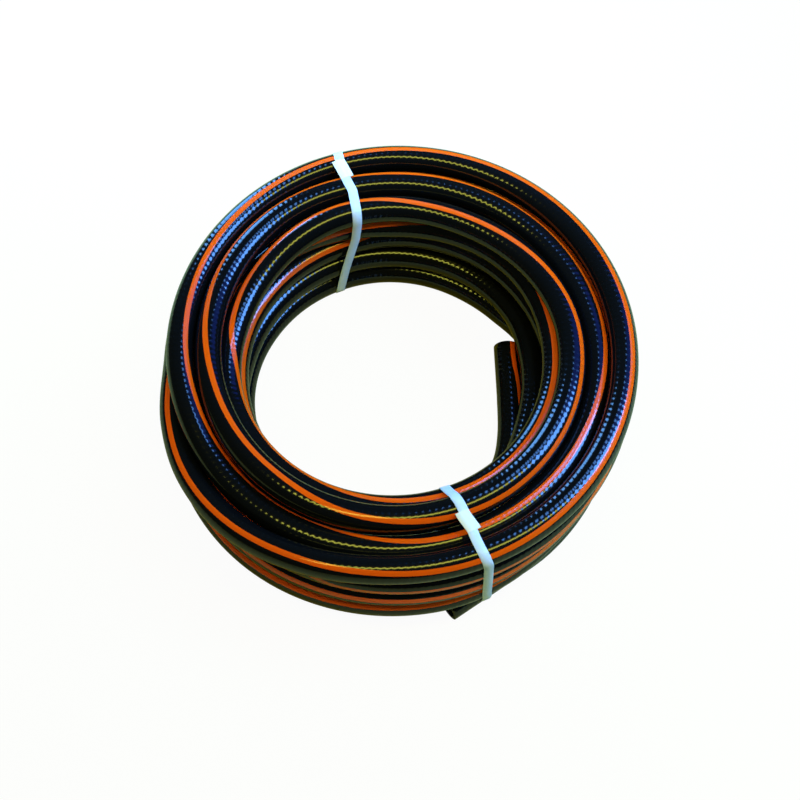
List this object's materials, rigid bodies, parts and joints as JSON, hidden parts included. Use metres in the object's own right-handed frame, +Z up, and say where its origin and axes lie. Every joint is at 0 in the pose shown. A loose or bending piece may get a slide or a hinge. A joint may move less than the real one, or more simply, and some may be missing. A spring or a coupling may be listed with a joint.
{
  "type": "coiled garden hose",
  "caption": "Coil of round plastic garden hose with two bare cut ends, tied by two strapping bands.",
  "frame": {"origin": "middle of the coil's footprint, at the level of the floor it lies on", "axes": "+Z up through the open middle of the coil, +X to the coil's right side with the inner cut end, -Y to its front with the outer cut end"},
  "size_m": [0.3132, 0.3276, 0.0948],
  "materials": {
    "hose_cover": "glossy black PVC over a textile relief",
    "hose_stripe": "glossy orange PVC let into the cover",
    "hose_braid": "polyester yarn",
    "hose_liner": "matte black PVC",
    "strap_band": "semi-clear polypropylene band"
  },
  "bodies": {
    "root": {"hose_coil": "hose_cover", "inner_end_liner": "hose_liner", "inner_end_braid": "hose_braid", "inner_end_cover": "hose_cover", "inner_end_stripe": "hose_stripe", "outer_end_liner": "hose_liner", "outer_end_braid": "hose_braid", "outer_end_cover": "hose_cover", "outer_end_stripe": "hose_stripe", "strap_rear": "strap_band", "strap_front": "strap_band"}
  },
  "joints": []
}
